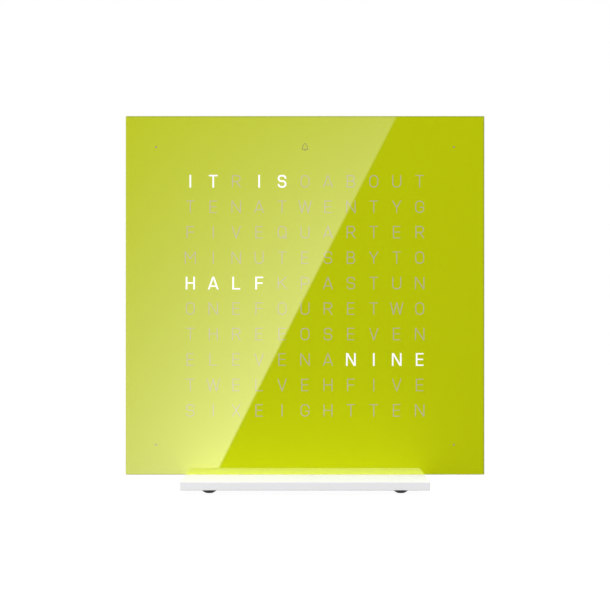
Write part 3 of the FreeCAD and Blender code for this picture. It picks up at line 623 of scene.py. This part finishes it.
# %% Letter pieces
rows = ("ITRISOABOUT", "TENATWENTYG", "FIVEQUARTER", "MINUTESBYTO", "HALFKPASTUN",
        "ONEFOURETWO", "THREEOSEVEN", "ELEVENANINE", "TWELVEHFIVE", "SIXEIGHTTEN")
lit_words = ((0, "IT"), (0, "IS"), (4, "HALF"), (7, "NINE"))
lit_cells = {(row, rows[row].index(word) + step)
             for row, word in lit_words for step in range(len(word))}
column_pitch = 8.63 * mm
row_pitch = 9.58 * mm
letter_proud = 0.02 * mm     # out of the face
letter_root = 0.03 * mm      # into the face
print_middle_z = face_middle_z - 0.18 * mm
dark_size = (4.6 * mm, 0.325 * mm)     # cap height and stroke
lit_size = (4.8 * mm, 0.62 * mm)


def letter_parts(letter, x, z, height, stroke):
    """One letter's ribbons on the face, centred at x, z and height tall."""
    parts = []
    for count, (corners, closed) in enumerate(alphabet(stroke / height / 2)[letter]):
        line = rounded_line(corners, closed) * height + (x, z)
        level = len(corners) == 2 and corners[0][1] == corners[1][1]
        width = stroke * bar_share if level else stroke
        lift = letter_proud + count * stroke_lift
        parts.append(ribbon_solid(line, width, face_y - lift, face_y + letter_root, closed))
    return parts


dark_parts = []
lit_parts = []
for row, letters in enumerate(rows):
    for column, letter in enumerate(letters):
        x = (column - (len(letters) - 1) / 2) * column_pitch
        z = print_middle_z + ((len(rows) - 1) / 2 - row) * row_pitch
        if (row, column) in lit_cells:
            lit_parts += letter_parts(letter, x, z, *lit_size)
        else:
            dark_parts += letter_parts(letter, x, z, *dark_size)
letters_dark = add_piece("letters_dark", dark_parts, "body", dark_window)
letters_lit = add_piece("letters_lit", lit_parts, "body", lit_window)
print("letters:", len(letters_dark.data.polygons), "dark and", len(letters_lit.data.polygons),
      "lit faces")

# %% [markdown]
# ## Corner dots and alarm sign
#
# Four dots in the corners count the minutes between two five-minute steps, and a small bell shows
# that the alarm is set. A dot is a short round rod, which is again two rings of points with quads
# between them. The bell is three ribbons: the shell, its rim and the clapper.

# %% Dots and bell
dot_radius = 0.4 * mm
dot_place = 56.0 * mm        # dots and bell stand this far from the middle of the face
dot_steps = 24
bell_stroke = 0.3 * mm


def round_line(radius, steps, turn=0.0):
    """Points (r cos a, r sin a) once round a circle from the angle turn, the last on the first."""
    angles = turn + np.linspace(0, 2 * math.pi, steps + 1)
    return radius * np.stack([np.cos(angles), np.sin(angles)], 1)


def dot_solid(x, z):
    """A dot through the face: a circle of points x + r cos a, z + r sin a at its back and again at
    its front, joined by quads and closed by two caps."""
    circle = round_line(dot_radius, dot_steps)[:-1] + (x, z)
    rings = [np.stack([circle[:, 0], np.full(dot_steps, y), circle[:, 1]], 1)
             for y in (face_y + letter_root, face_y - letter_proud)]
    return np.concatenate(rings), joined_rings(len(rings), dot_steps)


def sign_ribbons(lines, z, stroke, front_y, back_y):
    """Ribbons along lines that are given in millimetres around x = 0 and z."""
    parts = []
    for count, corners in enumerate(lines):
        line = rounded_line(corners) * mm + (0.0, z)
        parts.append(ribbon_solid(line, stroke, front_y - count * stroke_lift, back_y))
    return parts


corner_dots = add_piece("corner_dots",
                        [dot_solid(side_x * dot_place, print_middle_z + side_z * dot_place)
                         for side_x in (-1, 1) for side_z in (-1, 1)],
                        "body", dot_window)
bell_lines = [
    [(-1.12, -1.02), (-0.95, -0.6, 0.4), (-0.8, 0.25, 0.9), (0.0, 1.42, 0.36), (0.8, 0.25, 0.9),
     (0.95, -0.6, 0.4), (1.12, -1.02)],
    [(-1.2, -1.04), (1.2, -1.04)],
    [(-0.36, -1.16), (-0.28, -1.36, 0.14), (0.28, -1.36, 0.14), (0.36, -1.16)],
]
bell = add_piece("alarm_sign",
                 sign_ribbons(bell_lines, face_middle_z + dot_place, bell_stroke,
                              face_y - letter_proud, face_y + letter_root),
                 "body", bell_window)
print("dots and bell:", len(corner_dots.data.polygons) + len(bell.data.polygons), "faces")

# %% [markdown]
# ## Domed bumpers
#
# The base plate stands on four soft bumpers. They are moulded as low domes. A squashed sphere
# would have no flat to stand on, so we use a surface of revolution: a profile (r, z) turned about
# an upright axis. The dome is part of a sphere that goes through the small flat on the table and
# the full width under the plate. Its centre lies at centre_z above the table, where both points are
# equally far away, so r = sqrt(flat^2 + centre_z^2 - (centre_z - z)^2).

# %% Bumper pieces
dome_steps = 48
dome_rings = 12
dome_crowding = 1.5          # the rings stand closer together near the table
flat_share = 0.375


def revolved(profile, centre_x, centre_y, steps):
    """A closed solid of revolution: points (r cos a, r sin a, z), capped flat at both ends."""
    rings = np.empty((len(profile), steps, 3))
    rings[:, :, :2] = profile[:, :1, None] * round_line(1.0, steps)[:-1] + (centre_x, centre_y)
    rings[:, :, 2] = profile[:, 1:]
    return rings.reshape(-1, 3), joined_rings(len(profile), steps)


for node in ("foot_front_left", "foot_front_right", "foot_rear_left", "foot_rear_right"):
    low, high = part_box(node)
    wide = (high.x - low.x) / 2
    flat = flat_share * wide
    tall = high.z - low.z
    centre_z = (wide**2 + tall**2 - flat**2) / (2 * tall)
    rise = np.linspace(0, 1, dome_rings) ** dome_crowding * tall
    dome = np.stack([np.sqrt(flat**2 + centre_z**2 - (centre_z - rise) ** 2), low.z + rise], 1)
    bumper = add_piece(node.replace("foot", "bumper"),
                       [revolved(dome, (low.x + high.x) / 2, (low.y + high.y) / 2, dome_steps)],
                       "body", finishes["bumper_rubber"], smooth=True)
    bumper.data.polygons[-1].use_smooth = False
    bumper.data.polygons[-2].use_smooth = False
    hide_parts(node)
print("four bumpers of", round(2 * wide / mm, 1), "mm")

# %% [markdown]
# ## Printed signs above the buttons
#
# The back has four small keys. Their places are marked with plain printed signs: a short hand for
# the hours, a long hand for the minutes, a bell for the alarm and a sun for the brightness. A
# picture could carry them, but ribbons stay sharp from any distance. They stand a hair proud of
# the metal and are turned half round, because they are read from behind.

# %% Signs on the back
rear_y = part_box("rear_cover")[1].y
print_thickness = 0.02 * mm
print_root = 0.002 * mm
sign_stroke = 0.26 * mm
sign_rise = 7.6 * mm         # from the middle of a key to the middle of its sign
ray_count = 8
ray_turn = 0.02              # in radians, so that no ray is quite upright or level
dial = round_line(1.5, 32)
rays = np.stack([round_line(1.1, ray_count, ray_turn), round_line(1.75, ray_count, ray_turn)],
                1)[:-1]
signs = {
    "hour_button": [dial, [(0.0, -0.15), (0.0, 0.75)]],
    "minute_button": [dial, [(0.0, 0.0), (1.12, 0.03)], [(0.0, -0.15), (0.0, 0.3)]],
    "alarm_button": bell_lines,
    "brightness_button": [round_line(0.7, 24), *rays],
}
back_parts = []
for node, lines in signs.items():
    low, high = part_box(node)
    x, z = (low.x + high.x) / 2, (low.z + high.z) / 2 + sign_rise
    for points, faces in sign_ribbons(lines, z, sign_stroke, -print_thickness, print_root):
        back_parts.append((points * (-1, -1, 1) + (x, rear_y, 0), faces))
print_ink = grained("dark_print", (0.05, 0.05, 0.055), 0.6, 4000, 0.2, 0.1, 2e-6)
signs_piece = add_piece("button_signs", back_parts, "body", print_ink)
print("signs on the back:", len(signs_piece.data.polygons), "faces")

# %% [markdown]
# ## The bowed strip under the snooze key
#
# A strip of spring steel, bowed up in its middle, pushes the long key back after a press. A bend
# modifier would make it part of a circle with tilted ends, so its section of four corners is
# carried along a formula instead: its height over its length is z = rise * (1 - (x / half length)
# squared).

# %% Spring piece
strip_thickness = 0.3 * mm
strip_steps = 40
low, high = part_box("snooze_spring")
sweep = np.linspace(-1, 1, strip_steps + 1)
rise = high.z - low.z - strip_thickness
underside = low.z + rise * (1 - sweep**2)
along = (high.x + low.x) / 2 + sweep * (high.x - low.x) / 2
section = ((low.y, 0.0), (high.y, 0.0), (high.y, strip_thickness), (low.y, strip_thickness))
rings = np.stack([np.stack([along, np.full(len(along), y), underside + lift], 1)
                  for y, lift in section], 1)
spring = add_piece("spring_strip",
                   [(rings.reshape(-1, 3), joined_rings(len(along), len(section)))],
                   "body", finishes["spring_steel"])
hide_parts("snooze_spring")
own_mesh(spring)
print("spring strip", round((high.z - low.z) / mm, 2), "mm high")

# %% [markdown]
# ## Softening the machined edges
#
# No real edge is perfectly sharp. A Weld joins the loose triangles of a rigid part and a Bevel
# rounds every edge sharper than 40 degrees by a tenth or two of a millimetre, which is enough to
# catch a highlight. The thin base plate is painted sheet with crisp edges, so it gets less. The
# modifiers stay live, so the part's own mesh isn't touched.

# %% Edge modifiers
edge_rounding = {"hour_button": 0.25, "minute_button": 0.25, "alarm_button": 0.25,
                 "brightness_button": 0.25, "snooze_key": 0.2, "base_plate": 0.03,
                 "plinth": 0.15, "housing_frame": 0.15, "rear_cover": 0.12}
for node, radius in edge_rounding.items():
    part = frame["nodes"][node]
    weld = part.modifiers.new("join_triangles", "WELD")
    weld.merge_threshold = 0.001 * mm
    bevel = part.modifiers.new("round_edges", "BEVEL")
    bevel.width = radius * mm
    bevel.segments = 3
    bevel.limit_method = "ANGLE"
    bevel.angle_limit = math.radians(40)
print("rounded edges on", len(edge_rounding), "parts")

# %% [markdown]
# ## Finishes on the rigid parts
#
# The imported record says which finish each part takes. Naming every part again would be a second
# list to keep right, so one loop puts the made materials on all of them.

# %% Apply finishes
slot_of = {row["node"]: row["material_slot"] for row in frame["record"]["subparts"]}
for node, part in frame["nodes"].items():
    material = finishes[slot_of[node]]
    if not part.material_slots:
        part.data.materials.append(material)
    for holder in part.material_slots:
        holder.material = material
print("finishes on", len(slot_of), "parts")

# %% [markdown]
# ## Making studio pieces
#
# They glow and let light through by rules of their own, for which a Principled shader is of no
# use. So each of their materials is a small tree, made by a function that fills the empty tree and
# returns the output to show.

# %% Studio helpers


def shader_of(tree, kind, *in_order, **by_name):
    """The output of a new node that has only one."""
    return new_node(tree, kind, *in_order, **by_name).outputs[0]


def only_for_eyes(tree):
    """1 for camera, glossy and transmission rays, 0 for the rays that light the object."""
    path = new_node(tree, "LightPath").outputs
    return strongest(tree, path["Is Camera Ray"], path["Is Glossy Ray"],
                     path["Is Transmission Ray"])


def studio_material(name, surface):
    """A material whose shader is what surface makes in its node tree."""
    material = bpy.data.materials.new(name)
    material.use_nodes = True
    tree = material.node_tree
    tree.nodes.remove(tree.nodes["Principled BSDF"])
    feed(tree, tree.nodes["Material Output"], Surface=surface(tree))
    return material


def stage_plane(name, corners, material):
    """One quad that belongs to the studio."""
    mesh = bpy.data.meshes.new(name)
    mesh.from_pydata(corners, [], [(0, 1, 2, 3)])
    mesh.materials.append(material)
    plane = bpy.data.objects.new(name, mesh)
    bpy.context.scene.collection.objects.link(plane)
    return plane


print("studio helpers ready")

# %% [markdown]
# ## The studio floor
#
# The clock stands on a white table. A floor that is white by light alone would need so much of it
# that the clock's own white parts would wash out. So the floor glows white for the camera, in
# mirrors and through glass, with a faint matt layer that takes the clock's shadow, and to the light
# that falls on the clock it is grey paper. From below it is clear, so that the underside can be
# looked at.

# %% Floor
floor_half = 6.0
paper_grey = (0.25, 0.25, 0.25, 1)
shadow_grey = (0.045, 0.045, 0.045, 1)
floor_glow = 0.975


def floor_surface(tree):
    """White with a shadow to the eye, grey paper to the light, and clear from below."""
    paper = shader_of(tree, "BsdfDiffuse", Color=paper_grey)
    shadow = shader_of(tree, "BsdfDiffuse", Color=shadow_grey)
    shown = shader_of(tree, "AddShader", shadow, shader_of(tree, "Emission", Strength=floor_glow))
    upper = shader_of(tree, "MixShader", only_for_eyes(tree), paper, shown)
    from_below = new_node(tree, "NewGeometry").outputs["Backfacing"]
    return shader_of(tree, "MixShader", from_below, upper, shader_of(tree, "BsdfTransparent"))


stage_plane("floor", [(-floor_half, -floor_half, 0), (floor_half, -floor_half, 0),
                      (floor_half, floor_half, 0), (-floor_half, floor_half, 0)],
            studio_material("studio_floor", floor_surface))
print("floor", 2 * floor_half, "m wide")

# %% [markdown]
# ## The sheen on the face
#
# A glossy face shows what stands before it. A lamp would lay a sheen with a soft outline on it, but
# here the sheen has one sharp slanted edge. So a lit card hangs in front of the clock for glossy
# rays alone. Its slanted edge lays the bright diagonal sheen over the face, brighter towards the
# bottom, and its dark half keeps the rest of the face deep in colour. The face is a flat mirror, so
# what the card holds is seen on the face smaller by card_scale, around the eye's own height.

# %% Places on the sheen card
eye_distance = 729 * mm
eye_z = face_middle_z - 5 * mm
card_y = -48 * mm
card_half = 200 * mm
card_foot = 0.2 * mm
card_scale = (eye_distance + (face_y - card_y)) / eye_distance
card_top_z = eye_z + (cover_high.z - eye_z) * card_scale
edge_top_x = 35.0 * mm * card_scale
edge_slope = 0.5148          # how far the edge goes left for each metre down
edge_bow = 1.23 * mm * card_scale
side_start = 75 * mm         # past the part that the face mirrors, the card turns grey
side_width = 35 * mm
print("sheen card", round(2 * card_half / mm), "mm wide, seen smaller by", round(card_scale, 3))

# %% [markdown]
# ## The light on the card
#
# The card's light is a formula in its material, so no picture is needed. drop is how far a point
# lies below the top of the mirrored face, and fall is the same as a share, 1 at its foot. The edge
# lies at edge_top_x - edge_slope * drop + edge_bow * fall^2, and inside is how far a point lies to
# the left of it. There the light is edge_light + fall * (light_gain - light_bend * fall) - inside *
# (fade_top + fade_gain * fall), so it grows along the edge and fades away from it. The grey sides
# are for the metal parts, which would look black beside a dark card.

# %% Sheen card
edge_light = 0.66
light_gain = 1.55
light_bend = 0.35
fade_top = 4.7
fade_gain = 12.5
card_strength = 1.4
card_colour = (1.0, 0.97, 0.8, 1)
side_light = 0.35


def own_place(tree):
    """The X, Y and Z of the shaded point in Object coordinates."""
    return new_node(tree, "SeparateXYZ", new_node(tree, "TexCoord").outputs["Object"]).outputs


def sheen_surface(tree):
    """Light to the left of the slanted edge, and grey sides."""
    place = own_place(tree)
    drop = math_node(tree, "SUBTRACT", card_top_z, place["Z"])
    fall = math_node(tree, "MULTIPLY", drop, 1 / (2 * half_face * card_scale), clamp=True)
    slanted = math_node(tree, "SUBTRACT", edge_top_x,
                        math_node(tree, "MULTIPLY", drop, edge_slope))
    bow = math_node(tree, "MULTIPLY", math_node(tree, "MULTIPLY", fall, fall), edge_bow)
    inside = math_node(tree, "SUBTRACT", math_node(tree, "ADD", slanted, bow), place["X"])
    gain = math_node(tree, "SUBTRACT", light_gain, math_node(tree, "MULTIPLY", fall, light_bend))
    along = math_node(tree, "ADD", math_node(tree, "MULTIPLY", fall, gain), edge_light)
    fade = math_node(tree, "ADD", math_node(tree, "MULTIPLY", fall, fade_gain), fade_top)
    light = math_node(tree, "SUBTRACT", along, math_node(tree, "MULTIPLY", inside, fade))
    light = math_node(tree, "MULTIPLY", math_node(tree, "MAXIMUM", light, 0.0), card_strength)
    lit = math_node(tree, "MULTIPLY", light, beyond(tree, inside, 0.0, 1 / mm))
    aside = beyond(tree, math_node(tree, "ABSOLUTE", place["X"]), side_start, 1 / side_width)
    sides = math_node(tree, "MULTIPLY", aside, side_light)
    return shader_of(tree, "Emission", Color=card_colour, Strength=strongest(tree, lit, sides))


def only_in_mirrors(plane):
    """Leaves a plane visible to glossy rays alone."""
    plane.visible_camera = False
    plane.visible_diffuse = False
    plane.visible_transmission = False
    plane.visible_volume_scatter = False
    plane.visible_shadow = False


card_head = face_middle_z + card_half
only_in_mirrors(stage_plane("sheen_card",
                            [(-card_half, card_y, card_foot), (card_half, card_y, card_foot),
                             (card_half, card_y, card_head), (-card_half, card_y, card_head)],
                            studio_material("sheen_card", sheen_surface)))
print("light along the edge from", edge_light, "to",
      round(edge_light + light_gain - light_bend, 2), "times", card_strength)

# %% [markdown]
# ## The bright strip at the foot of the face
#
# The face throws its own lime light onto the plate before it and then mirrors the plate, so a
# bright strip runs along its foot. Stronger lamps would brighten it, but they would wash out the
# plate. So a second card for glossy rays lies just over the plate. It is clear and only adds that
# light, which grows evenly from nothing at the plate's front edge to its full strength at the face.

# %% Bounce card
plate_low, plate_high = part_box("base_plate")
bounce_z = plate_high.z + 0.02 * mm
bounce_strength = 1.45
bounce_colour = (0.92, 1.0, 0.2, 1)


def bounce_surface(tree):
    """Clear, with strength * (y - front edge) / (face - front edge) of light from above alone."""
    inward = math_node(tree, "SUBTRACT", own_place(tree)["Y"], plate_low.y)
    growth = math_node(tree, "MULTIPLY", inward, bounce_strength / (face_y - plate_low.y))
    from_above = math_node(tree, "SUBTRACT", 1.0,
                           new_node(tree, "NewGeometry").outputs["Backfacing"])
    light = shader_of(tree, "Emission", Color=bounce_colour,
                      Strength=math_node(tree, "MULTIPLY", growth, from_above))
    return shader_of(tree, "AddShader", shader_of(tree, "BsdfTransparent"), light)


only_in_mirrors(stage_plane("bounce_card",
                            [(plate_low.x, plate_low.y, bounce_z),
                             (plate_high.x, plate_low.y, bounce_z),
                             (plate_high.x, face_y, bounce_z), (plate_low.x, face_y, bounce_z)],
                            studio_material("bounce_card", bounce_surface)))
print("bounce card over", round((face_y - plate_low.y) / mm), "mm of the plate")

# %% [markdown]
# ## World and lamps
#
# The clock is lit evenly, as for a catalogue. The world is white to the eye and gives a soft light
# from all sides. Three wide lamps shape it: one from the front left, a weaker one from behind and
# one from above, a little blue, which lights the base plate. They are hidden from glossy rays, so
# that no lamp shows in the face.

# %% World and lamps
plain_white = (1, 1, 1, 1)
soft_strength = 0.7
world = bpy.data.worlds.new("white_studio")
bpy.context.scene.world = world
world.use_nodes = True
tree = world.node_tree
tree.nodes.clear()
soft = shader_of(tree, "Background", Color=plain_white, Strength=soft_strength)
seen = shader_of(tree, "Background", Color=plain_white, Strength=1.0)
new_node(tree, "OutputWorld", Surface=shader_of(tree, "MixShader", only_for_eyes(tree), soft, seen))


def area_lamp(name, place, target, size, power, colour=(1, 1, 1)):
    """A square soft lamp, size wide and power watts strong, that points from place to target."""
    data = bpy.data.lights.new(name, "AREA")
    data.size = size
    data.energy = power
    data.color = colour
    lamp = bpy.data.objects.new(name, data)
    lamp.location = place
    aim = np.array(target, float) - np.array(place, float)
    lamp.rotation_euler = (math.atan2(math.hypot(aim[0], aim[1]), -aim[2]), 0,
                           math.atan2(aim[0], -aim[1]) + math.pi)
    lamp.visible_glossy = False
    bpy.context.scene.collection.objects.link(lamp)


area_lamp("key_lamp", (-0.6, -1.2, 0.8), (0, 0, 0.05), 0.9, 12.8)
area_lamp("back_lamp", (0.7, 1.0, 1.0), (0, 0, 0.05), 0.9, 6.0)
area_lamp("top_lamp", (0.0, -0.3, 2.0), (0, -0.3, 0), 0.8, 13.3, (0.92, 0.92, 1.0))
print("world and", len(bpy.data.lights), "lamps")

# %% [markdown]
# ## The camera
#
# The clock is seen square on, so its square face stays a square. The eye is 0.73 m away and 5 mm
# below the middle of the face, which gives the base plate its small perspective. Tilting the camera
# would make the sides of the face run together, so a slight vertical shift of the picture sets the
# clock a little above its middle.

# %% Camera
camera_data = bpy.data.cameras.new("camera")
camera_data.sensor_width = 36.0
camera_data.lens = 114.33
camera_data.shift_y = 0.00598
camera = bpy.data.objects.new("camera", camera_data)
camera.location = (0.0, face_y - eye_distance, eye_z)
camera.rotation_euler = (math.pi / 2, 0, 0)
bpy.context.scene.collection.objects.link(camera)
bpy.context.scene.camera = camera
bpy.context.scene.view_settings.view_transform = "Standard"
print("camera", [round(value, 3) for value in camera.location])
